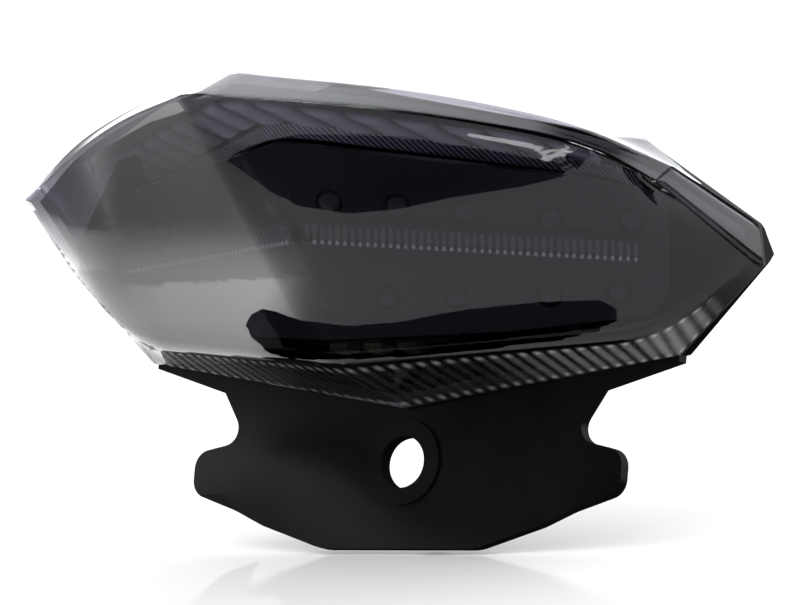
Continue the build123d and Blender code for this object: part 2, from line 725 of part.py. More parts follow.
# ---- five wires: board to jacket, then jacket to plug ----
PLUG_X, PLUG_Y, PLUG_Z = -50.0, 33.5, 36.0             # wire end of the plug, centre line
SLOT_PITCH = 2.8
PAD_GAP = 0.8                                          # wire ends behind the boards
WIRES = [   # name, place in the jacket, plug slot in pitches, board end x, z from the grommet
    ("wire_ground", (0.0, 0.0), 0, (0.7, -4.2)),
    ("wire_tail", (1.6, 0.0), 1, (4.2, -4.6)),
    ("wire_brake", (-1.6, 0.0), -1, (-4.2, -4.6)),
    ("wire_turn_left", (0.0, 1.6), 2, (-1.6, -0.6)),
    ("wire_turn_right", (0.0, -1.6), -2, (0.0, -6.9)),
]
for wire_name, (across, rise), slot, (pad_dx, pad_dz) in WIRES:
    pad_x, pad_z = GROMMET_X + pad_dx, GROMMET_Z + pad_dz
    slot_y = PLUG_Y + slot * SLOT_PITCH
    with BuildPart() as wire:
        with BuildLine() as inner_path:
            Spline(
                at(GROMMET_X + across, JACKET_START_Y - 0.1, GROMMET_Z + rise),
                at(GROMMET_X + across * 1.5, -12.0, GROMMET_Z + rise * 1.5),
                at(pad_x, board_rear_y(pad_x, pad_z, 1.4) + 3.0, pad_z),
                at(pad_x, board_rear_y(pad_x, pad_z, PAD_GAP), pad_z),
                tangents=(FRONT, FRONT),
            )
        inner = inner_path.line
        with BuildSketch(Plane(origin=inner @ 0, x_dir=(1, 0, 0), z_dir=inner % 0)):
            Circle(WIRE_R)
        sweep(path=inner)
        with BuildLine() as outer_path:
            fan = Spline(
                at(JACKET_END_X - 0.6, JACKET_END_Y + across, JACKET_END_Z + rise),
                at((JACKET_END_X + PLUG_X) / 2 - 0.3,
                   (JACKET_END_Y + across) * 0.3 + slot_y * 0.7,
                   PLUG_Z + 0.6 + rise * 1.2),
                at(PLUG_X + 1.2, slot_y, PLUG_Z),
                tangents=((-1, 0, 0), (-1, 0, 0)),
            )
        with BuildSketch(Plane(origin=fan @ 0, x_dir=BACK, z_dir=fan % 0)):
            Circle(WIRE_R)
        sweep(path=outer_path.line)
        # straight end inside the plug
        with BuildSketch(Plane(origin=fan @ 1, x_dir=BACK, z_dir=(-1, 0, 0))):
            Circle(WIRE_R)
        extrude(amount=7.8)
    save(wire.part, wire_name)

# ---- link wires: left board to right board, and down to the plate board ----
LINK_X = 16.0
DROP_Z = 34.0


def behind_board(x, z, extra=0.0):
    return at(x, board_rear_y(x, z, PAD_GAP) + extra, z)


LINKS = [([behind_board(-LINK_X, z), behind_board(0.0, z, 5.0), behind_board(LINK_X, z)],
          (BACK, FRONT)) for z in (56.0, 53.0)]
DROPS = [([behind_board(x, DROP_Z),
           at(x, board_rear_y(x, DROP_Z, PAD_GAP) + 6.0, 32.5),
           at(x, -15.0, 27.6)],
          (BACK, at(0, 0, -1))) for x in (-12.0, -9.0)]
with BuildPart() as link_wires:
    for points, tangents in LINKS + DROPS:
        with BuildLine() as link_path:
            Spline(*points, tangents=tangents)
        link = link_path.line
        with BuildSketch(Plane(origin=link @ 0, x_dir=(1, 0, 0), z_dir=link % 0)):
            Circle(WIRE_R)
        sweep(path=link)
save(link_wires.part, "link_wires")

# ---- plug housing: +z of PLUG runs left along the plug, its local y runs down ----
PLUG = Plane(origin=at(PLUG_X, PLUG_Y, PLUG_Z), x_dir=BACK, z_dir=(-1, 0, 0))
PLUG_L = 27.0
PLUG_SLOTS = [(slot * SLOT_PITCH, 0) for _, _, slot, _ in WIRES]
LOCK_L, LOCK_W = 4.0, 13.0
LOCK_GAP = 0.08


def lock_plane(height):
    """Plane over the terminal lock, at a height above the plug's centre line."""
    return facing_up(PLUG_X - 13.2, PLUG_Y, PLUG_Z + height)


with BuildPart() as plug_housing:
    with BuildSketch(PLUG):
        RectangleRounded(17.6, 11.6, 2.0)
    extrude(amount=PLUG_L)
    # collar
    with BuildSketch(PLUG.offset(8.0)):
        RectangleRounded(19.6, 13.2, 2.2)
    extrude(amount=1.6)
    # open mouth
    with BuildSketch(PLUG.offset(PLUG_L)):
        RectangleRounded(14.8, 8.8, 1.2)
    extrude(amount=-11.0, mode=Mode.SUBTRACT)
    # wire holes, then terminal chambers
    with BuildSketch(PLUG):
        with Locations(*PLUG_SLOTS):
            Circle(1.25)
    extrude(amount=7.0, mode=Mode.SUBTRACT)
    with BuildSketch(PLUG.offset(6.9)):
        with Locations(*PLUG_SLOTS):
            Rectangle(2.0, 1.8)
    extrude(amount=10.0, mode=Mode.SUBTRACT)
    # slot for the terminal lock, from the top
    with BuildSketch(lock_plane(8.0)):
        Rectangle(LOCK_L + 2 * LOCK_GAP, LOCK_W + 2 * LOCK_GAP)
    extrude(amount=-6.6, mode=Mode.SUBTRACT)
save(plug_housing.part, "plug_housing")

# ---- plug terminals: body and blade, blade tips chamfered ----
with BuildPart() as plug_terminals:
    with BuildSketch(PLUG.offset(7.2)):
        with Locations(*PLUG_SLOTS):
            Rectangle(1.8, 1.5)
    extrude(amount=8.6)
    with BuildSketch(PLUG.offset(15.0)):
        with Locations(*PLUG_SLOTS):
            Rectangle(1.5, 0.6)
    extrude(amount=9.6)
    chamfer(faces().sort_by(Axis.X)[:5].edges(), length=0.2)
save(plug_terminals.part, "plug_terminals")

# ---- wire seals in the plug ----
with BuildPart() as plug_wire_seals:
    with BuildSketch(PLUG.offset(-0.8)):
        with Locations(*PLUG_SLOTS):
            Circle(1.2)
            Circle(WIRE_R + 0.04, mode=Mode.SUBTRACT)
    extrude(amount=4.4)
save(plug_wire_seals.part, "plug_wire_seals")

# ---- terminal lock: grooved head and a blade down into the slot ----
LOCK_HEAD_Z, LOCK_HEAD_T = 5.85, 1.5
with BuildPart() as plug_lock:
    with BuildSketch(lock_plane(LOCK_HEAD_Z)):
        Rectangle(6.4, 14.6)
    extrude(amount=LOCK_HEAD_T)
    with BuildSketch(lock_plane(6.0)):
        Rectangle(LOCK_L, LOCK_W)
    extrude(amount=-4.3)
    with BuildSketch(lock_plane(LOCK_HEAD_Z + LOCK_HEAD_T)):
        with Locations((-1.6, 0), (0, 0), (1.6, 0)):
            Rectangle(0.7, 10.0)
    extrude(amount=-0.4, mode=Mode.SUBTRACT)
save(plug_lock.part, "plug_lock")
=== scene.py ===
import math

import bmesh
import bpy
from mathutils import Matrix, Vector
from mathutils.bvhtree import BVHTree


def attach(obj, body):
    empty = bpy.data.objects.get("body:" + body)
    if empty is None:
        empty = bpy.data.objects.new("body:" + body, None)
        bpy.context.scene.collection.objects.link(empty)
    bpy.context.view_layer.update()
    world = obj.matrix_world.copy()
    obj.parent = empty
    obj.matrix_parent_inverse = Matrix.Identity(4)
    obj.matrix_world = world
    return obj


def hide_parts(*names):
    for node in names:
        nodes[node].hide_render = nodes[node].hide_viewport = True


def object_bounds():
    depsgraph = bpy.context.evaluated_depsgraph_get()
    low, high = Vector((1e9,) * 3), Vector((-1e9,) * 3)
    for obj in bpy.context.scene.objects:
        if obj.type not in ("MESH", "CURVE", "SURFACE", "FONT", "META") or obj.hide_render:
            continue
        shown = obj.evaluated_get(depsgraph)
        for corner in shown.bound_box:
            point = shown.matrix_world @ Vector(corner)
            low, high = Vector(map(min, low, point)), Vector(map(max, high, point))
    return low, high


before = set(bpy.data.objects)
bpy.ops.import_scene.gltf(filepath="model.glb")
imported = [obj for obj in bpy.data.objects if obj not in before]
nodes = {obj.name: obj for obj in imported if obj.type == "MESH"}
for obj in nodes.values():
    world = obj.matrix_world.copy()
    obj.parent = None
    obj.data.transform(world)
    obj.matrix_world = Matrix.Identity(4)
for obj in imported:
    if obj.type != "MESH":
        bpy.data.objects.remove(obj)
cad_lo, cad_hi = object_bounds()
scene = bpy.context.scene

MM = 0.001
LEAN_COS, LEAN_SIN = math.cos(math.radians(20)), math.sin(math.radians(20))


def turn(v):
    """Tongue direction to row direction."""
    return Vector((v[0], LEAN_COS * v[1] + LEAN_SIN * v[2], -LEAN_SIN * v[1] + LEAN_COS * v[2]))


def at(v):
    """Tongue place in mm to row place in metres."""
    return turn(v) * MM


# ------------------------------------------------------------------- curves --
def clamp(*values):
    """The least of the values, held between 0 and 1."""
    return max(0.0, min(1.0, *values))


def ease(start, end, x):
    """Smooth step from 0 at start to 1 at end."""
    t = clamp((x - start) / (end - start))
    return t * t * (3 - 2 * t)


def smooth_abs(x, width):
    """|x| with its corner rounded within width of zero."""
    return x * x / (2 * width) + width / 2 if abs(x) < width else abs(x)


def rod_square(turns):
    """Squared height of a row of half-round rods, one rod to a turn."""
    phase = turns % 1.0
    return max(0.0, 1 - (2 * phase - 1) ** 2)


# ------------------------------------------------------------- mesh helpers --
def grid_faces(rows, cols, first=0):
    return [(first + i * cols + j, first + i * cols + j + 1,
             first + (i + 1) * cols + j + 1, first + (i + 1) * cols + j)
            for i in range(rows - 1) for j in range(cols - 1)]


def slab_faces(steps_along, steps_across, first=0):
    """Two grids of vertices, one after the other, closed by walls round the edge."""
    cols = steps_across + 1
    other = (steps_along + 1) * cols
    faces = grid_faces(steps_along + 1, cols, first)
    faces += grid_faces(steps_along + 1, cols, first + other)
    for i in range(steps_along):
        for j in (0, steps_across):
            a = first + i * cols + j
            faces.append((a, a + cols, a + cols + other, a + other))
    for j in range(steps_across):
        for i in (0, steps_along):
            a = first + i * cols + j
            faces.append((a, a + 1, a + 1 + other, a + other))
    return faces


def set_marks(mesh, marks):
    for name, values in marks.items():
        mesh.attributes.new(name, "FLOAT", "POINT").data.foreach_set("value", values)


def link_object(name, mesh):
    obj = bpy.data.objects.new(name, mesh)
    scene.collection.objects.link(obj)
    return obj


def assign(obj, material):
    obj.data.materials.append(material)
    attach(obj, "light")


def piece(name, verts, faces, material, sharp_deg, marks):
    """Smooth-shaded piece with sharp edges above sharp_deg and float marks on its vertices."""
    mesh = bpy.data.meshes.new(name)
    mesh.from_pydata([tuple(v) for v in verts], [], faces)
    bm = bmesh.new()
    bm.from_mesh(mesh)
    bmesh.ops.recalc_face_normals(bm, faces=bm.faces)
    limit = math.radians(sharp_deg)
    for face in bm.faces:
        face.smooth = True
    for edge in bm.edges:
        edge.smooth = not (len(edge.link_faces) == 2 and edge.calc_face_angle(0.0) > limit)
    bm.to_mesh(mesh)
    bm.free()
    set_marks(mesh, marks)
    obj = link_object(name, mesh)
    assign(obj, material)
    return obj


# ------------------------------------------------------------- lens outline --
# Lens sections, five corners each: lower rim, foot of the face, underside of the ridge,
# top of the ridge, roof rim.
SHOULDER_X = 73.3
# (y, z) at x = 0
MIDDLE = [(-1.6, 12.3), (-32.0, 17.3), (-96.2, 67.6), (-82.5, 75.4), (-40.0, 80.5)]
# (y, z) at x = SHOULDER_X
SHOULDER = [(-1.0, 23.7), (-10.5, 26.9), (-42.8, 62.4), (-42.0, 66.6), (-22.0, 68.5)]
# (x, y, z) at the outer end
END = [Vector(p) for p in ((95.3, -3.8, 43.3), (94.6, -8.0, 44.6), (87.4, -38.0, 56.2),
                           (88.6, -33.0, 60.4), (94.6, -6.0, 52.4))]

# Axes of the plane of the outer end, which starts from its third corner
END_NORMAL = (END[0] - END[2]).cross(END[4] - END[2]).normalized()
END_ALONG = (Vector((0, 1, 0)) - END_NORMAL * END_NORMAL.y).normalized()
END_UP = END_NORMAL.cross(END_ALONG)
END_FLAT = [((p - END[2]).dot(END_ALONG), (p - END[2]).dot(END_UP)) for p in END]

WINDOW_STEPS, FACE_STEPS, RIDGE_STEPS, ROOF_STEPS = SIDE_STEPS = (12, 20, 8, 8)
ARC_STEPS = 7                   # samples round each corner
CORNER_CUTS = (2.4, 0.75, 1.4)  # how far each corner's arc reaches along its sides
CUT_LIMIT = 0.42                # largest share of a side that a corner may take
TIGHTER = 0.6                   # scale of the cuts on the inner skin, and again at the end
WALL, END_WALL = 2.5, 1.7


def inset(points, walls):
    """Closed polygon with side i, from point i to the next, moved inwards by walls[i]."""
    sides = list(zip(points, points[1:] + points[:1]))
    area = sum(x1 * y2 - x2 * y1 for (x1, y1), (x2, y2) in sides)
    turning = 1.0 if area > 0 else -1.0
    lines = []
    for ((x1, y1), (x2, y2)), wall in zip(sides, walls):
        length = math.hypot(x2 - x1, y2 - y1)
        normal_x = -(y2 - y1) / length * turning
        normal_y = (x2 - x1) / length * turning
        lines.append((x1 + normal_x * wall, y1 + normal_y * wall,
                      (x2 - x1) / length, (y2 - y1) / length))
    out = []
    for i, (bx, by, b_dx, b_dy) in enumerate(lines):
        ax, ay, a_dx, a_dy = lines[i - 1]
        t = ((bx - ax) * b_dy - (by - ay) * b_dx) / (a_dx * b_dy - a_dy * b_dx)
        out.append((ax + a_dx * t, ay + a_dy * t))
    return out


def rounded(points, cuts):
    """Open outline through the points with eased corners, sampled alike for every section."""
    out = []
    start = points[0]
    corners = zip(points, points[1:], points[2:], cuts, SIDE_STEPS)
    for before, corner, after, cut, steps in corners:
        cut = min(cut, CUT_LIMIT * (corner - before).length, CUT_LIMIT * (after - corner).length)
        arc_start = corner + (before - corner).normalized() * cut
        arc_end = corner + (after - corner).normalized() * cut
        out += [start.lerp(arc_start, k / steps) for k in range(steps)]
        for k in range(ARC_STEPS):
            t = k / ARC_STEPS
            out.append(arc_start * (1 - t) ** 2 + corner * 2 * t * (1 - t) + arc_end * t * t)
        start = arc_end
    out += [start.lerp(points[-1], k / ROOF_STEPS) for k in range(ROOF_STEPS)]
    out.append(points[-1])
    return out


def outline(flat, wall, cut_scale, place):
    """Section inset by a wall on all but its open side, put in space by place(a, b)."""
    points = [place(a, b) for a, b in inset(flat, [wall] * 4 + [0.0])]
    return rounded(points, [cut * cut_scale for cut in CORNER_CUTS])


def end_outline(wall, shift, cut_scale):
    def place(a, b):
        return END[2] + END_ALONG * a + END_UP * b + END_NORMAL * shift
    return outline(END_FLAT, wall, cut_scale, place)


def sections(inner):
    wall, end_wall, scale = (WALL, END_WALL, TIGHTER) if inner else (0.0, 0.0, 1.0)
    return (outline(MIDDLE, wall, scale, lambda y, z: Vector((0.0, y, z))),
            outline(SHOULDER, wall, scale, lambda y, z: Vector((SHOULDER_X, y, z))),
            end_outline(end_wall, -wall, scale * TIGHTER))


# ---------------------------------------------------------------- lens skin --
NOSE_HALF = 5.0       # half width of the rounded nose at x = 0
BEND_BEFORE = 0.17    # share of the middle-shoulder span taken by the shoulder's bend
BEND_AFTER = 0.62     # share of the shoulder-end span taken by it
STEPS_TO_BEND, BEND_STEPS, STEPS_TO_END = 150, 56, 12
ARCH, ARCH_START, ARCH_SPAN = 2.5, 9.0, 72.0    # rise of the ridge and roof, mm
END_ROUND = 1.6
END_ROUND_DEGREES = (0, 25, 50, 75, 90)

FACE_START = WINDOW_STEPS + ARC_STEPS
LAST_COL = sum(SIDE_STEPS) + 3 * ARC_STEPS
COLS = LAST_COL + 1

FLUTE_PITCH, FLUTE_DEPTH = 3.3, 0.95
FLUTE_FADE = 6.0


def stations():
    """From the middle to the tip: (eased weights, sharp weights, true x or None).

    Weights are for the middle, shoulder and end sections; the rims keep the sharp ones."""
    out = []
    for i in range(STEPS_TO_BEND + 1):
        x = SHOULDER_X * (1 - BEND_BEFORE) * i / STEPS_TO_BEND
        t = smooth_abs(x, NOSE_HALF) / SHOULDER_X
        out.append(((1 - t, t, 0.0), (1 - x / SHOULDER_X, x / SHOULDER_X, 0.0), x))
    for i in range(1, BEND_STEPS + 1):
        u = i / BEND_STEPS
        if u <= 0.5:
            q = BEND_BEFORE * (1 - 2 * u)
            sharp = (q, 1 - q, 0.0)
        else:
            q = BEND_AFTER * (2 * u - 1)
            sharp = (0.0, 1 - q, q)
        start, middle, end = (1 - u) ** 2, 2 * u * (1 - u), u * u
        eased = (start * BEND_BEFORE,
                 start * (1 - BEND_BEFORE) + middle + end * (1 - BEND_AFTER),
                 end * BEND_AFTER)
        out.append((eased, sharp, None))
    for i in range(1, STEPS_TO_END + 1):
        t = BEND_AFTER + (1 - BEND_AFTER) * i / STEPS_TO_END
        out.append(((0.0, 1 - t, t), (0.0, 1 - t, t), None))
    return out


def add_flutes(row):
    """Rods moulded inside the lower window, running from the rim to the foot of the face."""
    along = (row[WINDOW_STEPS] - row[0]).normalized()
    into = Vector((0, -along.z, along.y))
    if into.z < 0:
        into = -into
    for j in range(1, WINDOW_STEPS):
        f = j / WINDOW_STEPS
        ends = clamp((f - 0.06) / 0.10, (0.95 - f) / 0.10) ** 0.5
        x = row[j].x
        rod = math.sqrt(rod_square(x / FLUTE_PITCH))
        row[j] = row[j] + into * (FLUTE_DEPTH * rod * ends * clamp((88 - x) / FLUTE_FADE))


def end_round_row(degrees):
    angle = math.radians(degrees)
    wall = END_ROUND * (1 - math.cos(angle))
    return end_outline(wall, -END_ROUND + END_ROUND * math.sin(angle), TIGHTER)


def skin_rows(inner):
    """Half skin, from x = 0 to the +x tip."""
    trio = sections(inner)
    rows = []
    for eased, sharp, x in stations():
        row = []
        for j, (middle, shoulder, end) in enumerate(zip(*trio)):
            soft = ease(0.0, 1.0, clamp(j / 14.0, (LAST_COL - j) / 8.0))
            w_mid, w_sho, w_end = [a * soft + b * (1 - soft) for a, b in zip(eased, sharp)]
            p = middle * w_mid + shoulder * w_sho + end * w_end
            if x is not None:
                p.x = x
            if j > FACE_START:
                span = min(1.0, (math.hypot(p.x, ARCH_START) - ARCH_START) / ARCH_SPAN)
                p.z += ARCH * math.sin(math.pi * span) * min(1.0, (j - FACE_START) / FACE_STEPS)
            row.append(p)
        rows.append(row)
    if inner:
        for row in rows:
            add_flutes(row)
    else:
        rows.pop()
        rows += [end_round_row(degrees) for degrees in END_ROUND_DEGREES]
    return rows


def full_width(rows):
    """Rows from the -x tip to the +x tip."""
    mirrored_half = [[Vector((-p.x, p.y, p.z)) for p in row] for row in reversed(rows[1:])]
    return mirrored_half + rows


def painted_flute_highlight(p, j):
    """Painted highlight on the flutes seen through the lower window: light lines along the rods,
    with a painted glint at the foot of each end.
    """
    if j == 0 or j >= WINDOW_STEPS:
        return 0.0
    x = abs(p.x)
    rod = rod_square(x / FLUTE_PITCH)
    mark = (0.035 + 0.24 * ease(26, 52, x)) * rod ** 2
    # painted glint at each end of a rod
    if j in (1, WINDOW_STEPS - 1):
        mark += 0.42 * rod ** 5
    return mark * clamp((86 - x) / FLUTE_FADE)


outer_rows = full_width(skin_rows(inner=False))
inner_rows = full_width(skin_rows(inner=True))
lens_verts = [at(p) for row in outer_rows + inner_rows for p in row]
OUTER_COUNT = len(outer_rows) * COLS


def lens_faces():
    n_out, n_in = len(outer_rows), len(inner_rows)
    extra = (n_out - n_in) // 2     # outer rows past the inner skin at each tip

    def outer(i, j):
        return i * COLS + j

    def inner(i, j):
        return OUTER_COUNT + i * COLS + j

    faces = grid_faces(n_out, COLS) + grid_faces(n_in, COLS, OUTER_COUNT)
    # lower rim and roof rim
    for col in (0, LAST_COL):
        for i in range(n_in - 1):
            k = i + extra
            faces.append((outer(k, col), outer(k + 1, col), inner(i + 1, col), inner(i, col)))
    # tips: the two end caps, then the rim round the rear of the tip
    for tip_out, tip_in, step in ((0, 0, 1), (n_out - 1, n_in - 1, -1)):
        faces.append(tuple(outer(tip_out, j) for j in range(COLS)))
        faces.append(tuple(inner(tip_in, j) for j in range(COLS)))
        near = [tip_out + step * k for k in range(extra + 1)]
        for a, b in zip(near, near[1:]):
            faces.append((outer(a, 0), outer(b, 0), outer(b, LAST_COL), outer(a, LAST_COL)))
        faces.append((outer(near[-1], 0), outer(near[-1], LAST_COL),
                      inner(tip_in, LAST_COL), inner(tip_in, 0)))
    return faces


# ------------------------------------------------------------- node helpers --
def add_node(tree, kind, inputs=None, **settings):
    """New node; each input takes a value or, if given a socket, a link."""
    node = tree.nodes.new(kind)
    for key, value in settings.items():
        setattr(node, key, value)
    for key, value in (inputs or {}).items():
        if isinstance(value, bpy.types.NodeSocket):
            tree.links.new(value, node.inputs[key])
        else:
            node.inputs[key].default_value = value
    return node


def new_material(name):
    material = bpy.data.materials.new(name)
    material.use_nodes = True
    material.node_tree.nodes.clear()
    return material, material.node_tree


def set_surface(tree, shader, output="ShaderNodeOutputMaterial"):
    add_node(tree, output, {"Surface": shader})


def opaque(colour):
    return (*colour, 1)


def object_place(tree):
    place = add_node(tree, "ShaderNodeTexCoord").outputs["Object"]
    return add_node(tree, "ShaderNodeMapping", {"Vector": place}).outputs["Vector"]


def noise(tree, place, scale, detail, roughness):
    inputs = {"Vector": place, "Scale": scale, "Detail": detail, "Roughness": roughness}
    return add_node(tree, "ShaderNodeTexNoise", inputs).outputs["Fac"]


def map_range(tree, value, low=0.0, high=1.0, start=0.0, end=1.0, **settings):
    """Takes low..high to start..end."""
    inputs = {"Value": value, "From Min": low, "From Max": high, "To Min": start, "To Max": end}
    return add_node(tree, "ShaderNodeMapRange", inputs, **settings).outputs["Result"]


def mix_colour(tree, factor, first, second, **settings):
    inputs = {0: factor, 6: first, 7: second}
    return add_node(tree, "ShaderNodeMix", inputs, data_type="RGBA", **settings).outputs[2]


def mix_value(tree, factor, first, second):
    inputs = {0: factor, 2: first, 3: second}
    return add_node(tree, "ShaderNodeMix", inputs, data_type="FLOAT").outputs[0]


def mix_shader(tree, factor, first, second):
    return add_node(tree, "ShaderNodeMixShader", {0: factor, 1: first, 2: second}).outputs[0]


def calculate(tree, operation, *values):
    inputs = dict(enumerate(values))
    return add_node(tree, "ShaderNodeMath", inputs, operation=operation).outputs[0]


def bump_normal(tree, height, strength, distance):
    inputs = {"Height": height, "Strength": strength, "Distance": distance}
    return add_node(tree, "ShaderNodeBump", inputs).outputs["Normal"]


def mark_value(tree, name):
    return add_node(tree, "ShaderNodeAttribute", attribute_name=name).outputs["Fac"]


# ---------------------------------------------------------------- materials --
def plastic(name, base, patches, rough=0.4, rough_spread=0.08, grain=2200, bump=0.05,
            patch_scale=60, metallic=0.0, specular=0.5, transmission=0.0, scatter=0.0,
            edge=0.25, film=0.0):
    """Solid plastic, rubber or metal: base colour with patches, fine grain and lighter edges.

    grain and patch_scale are noise scales, edge is how far edges lighten, and film is the
    share of an added even gloss."""
    material, tree = new_material(name)
    place = object_place(tree)
    blotches = noise(tree, place, scale=patch_scale, detail=4.0, roughness=0.6)
    fine = noise(tree, place, scale=grain, detail=3.0, roughness=0.65)
    patchiness = map_range(tree, blotches, low=0.35, high=0.65)
    body = mix_colour(tree, patchiness, opaque(base), opaque(patches))
    pointiness = add_node(tree, "ShaderNodeNewGeometry").outputs["Pointiness"]
    edge_share = map_range(tree, pointiness, low=0.5, high=0.62, end=edge)
    edge_colour = [min(1.0, c * 2.2 + 0.02) for c in patches]
    inputs = {
        "Base Color": mix_colour(tree, edge_share, body, opaque(edge_colour)),
        "Roughness": map_range(tree, fine, start=rough - rough_spread, end=rough + rough_spread),
        "Normal": bump_normal(tree, fine, strength=bump, distance=0.0002),
        "Metallic": metallic,
        "Specular IOR Level": specular,
        "Coat Roughness": 0.12,     # shows only once the coat is given a weight
        "Transmission Weight": transmission,
        "IOR": 1.5,
    }
    if scatter:
        inputs.update({"Subsurface Weight": scatter, "Subsurface Scale": 0.002})
    shader = add_node(tree, "ShaderNodeBsdfPrincipled", inputs).outputs["BSDF"]
    if film:
        glossy = add_node(tree, "ShaderNodeBsdfGlossy", {"Roughness": 0.30}).outputs[0]
        shader = mix_shader(tree, film, shader, glossy)
    set_surface(tree, shader)
    return material


def clear_plastic(name, tint, edge_tint, gloss_rough, body, mark, gap_shade=None, painted_body_share=None,
                  skin=False):
    """See-through plastic with a Fresnel gloss, darker where it is seen edge on.

    The mark attribute drives a diffuse body of painted light and shade: with a gap colour,
    painted shade between rods or ribs, it blends that to the body colour, painted light on
    their crests, at a fixed share; without one the mark is itself the share, a painted
    highlight. With skin set, the skin attribute scales the gloss."""
    material, tree = new_material(name)
    place = object_place(tree)
    fine = noise(tree, place, scale=900, detail=3.0, roughness=0.55)
    wave = noise(tree, place, scale=14.0, detail=2.0, roughness=0.5)

    # tint: deeper at grazing angles, slightly uneven as in moulded smoke
    facing = add_node(tree, "ShaderNodeLayerWeight", {"Blend": 0.5}).outputs["Facing"]
    grazing = calculate(tree, "POWER", facing, 2.2)
    smoke = mix_colour(tree, grazing, opaque(tint), opaque(edge_tint))
    smoke = mix_colour(tree, wave, smoke, (0.93, 0.93, 0.95, 1), blend_type="MULTIPLY")
    transparent = add_node(tree, "ShaderNodeBsdfTransparent", {"Color": smoke}).outputs[0]

    normal = bump_normal(tree, wave, strength=0.015, distance=0.0003)
    roughness = map_range(tree, fine, start=gloss_rough * 0.6, end=gloss_rough * 1.5)
    glossy = add_node(tree, "ShaderNodeBsdfGlossy", {
        "Color": (1, 1, 1, 1), "Roughness": roughness, "Normal": normal}).outputs[0]

    # the back of a wall mirrors less than its front, and shadow rays see no gloss
    share = add_node(tree, "ShaderNodeFresnel", {"IOR": 1.5, "Normal": normal}).outputs[0]
    backfacing = add_node(tree, "ShaderNodeNewGeometry").outputs["Backfacing"]
    share = calculate(tree, "MULTIPLY", share,
                      calculate(tree, "MULTIPLY_ADD", backfacing, -0.55, 1.0))
    shadow_ray = add_node(tree, "ShaderNodeLightPath").outputs["Is Shadow Ray"]
    share = calculate(tree, "MULTIPLY", share, calculate(tree, "SUBTRACT", 1.0, shadow_ray))
    if skin:
        share = calculate(tree, "MULTIPLY", share, mark_value(tree, "skin"))

    # share of painted light: painted highlights on the lens flutes and on rod and rib crests,
    # painted shade in the gaps between them
    painted_light_share = mark_value(tree, mark)
    painted_light_colour = opaque(body)
    if gap_shade:
        painted_light_colour = mix_colour(tree, painted_light_share, opaque(gap_shade), painted_light_colour)
    diffuse = add_node(tree, "ShaderNodeBsdfDiffuse", {"Color": painted_light_colour}).outputs[0]
    seen = mix_shader(tree, painted_body_share if gap_shade else painted_light_share, transparent, diffuse)
    set_surface(tree, mix_shader(tree, share, seen, glossy))
    return material


GUIDE_CLEAR = dict(tint=(0.80, 0.80, 0.86), edge_tint=(0.42, 0.42, 0.50), gloss_rough=0.05)
CLEAR_PLASTICS = {
    "smoked_lens": dict(
        tint=(0.60, 0.60, 0.635), edge_tint=(0.16, 0.155, 0.18), gloss_rough=0.022,
        # body is the colour of the painted flute highlights
        body=(0.42, 0.42, 0.43), mark="flute_highlight", skin=True),
    "clear_guide": dict(
        # body is painted light on the rod crowns, gap the painted shade between the rods
        GUIDE_CLEAR, body=(0.88, 0.89, 0.98), painted_body_share=0.92, mark="rod",
        gap_shade=(0.03, 0.03, 0.05)),
    "ribbed_clear_band": dict(
        # body is painted light on the rib crests, gap the painted shade between the ribs
        GUIDE_CLEAR, body=(0.72, 0.73, 0.84), painted_body_share=0.88, mark="rib",
        gap_shade=(0.02, 0.02, 0.03)),
    "clear_strip": dict(
        tint=(0.78, 0.79, 0.82), edge_tint=(0.25, 0.25, 0.28), gloss_rough=0.05,
        # body is painted light on the rib and rail crests, gap the painted shade between the ribs
        body=(0.30, 0.30, 0.32), painted_body_share=0.58, mark="rib", gap_shade=(0.03, 0.03, 0.035)),
}
WIRE_LOOK = dict(rough=0.42, grain=1300, bump=0.10, patch_scale=300)
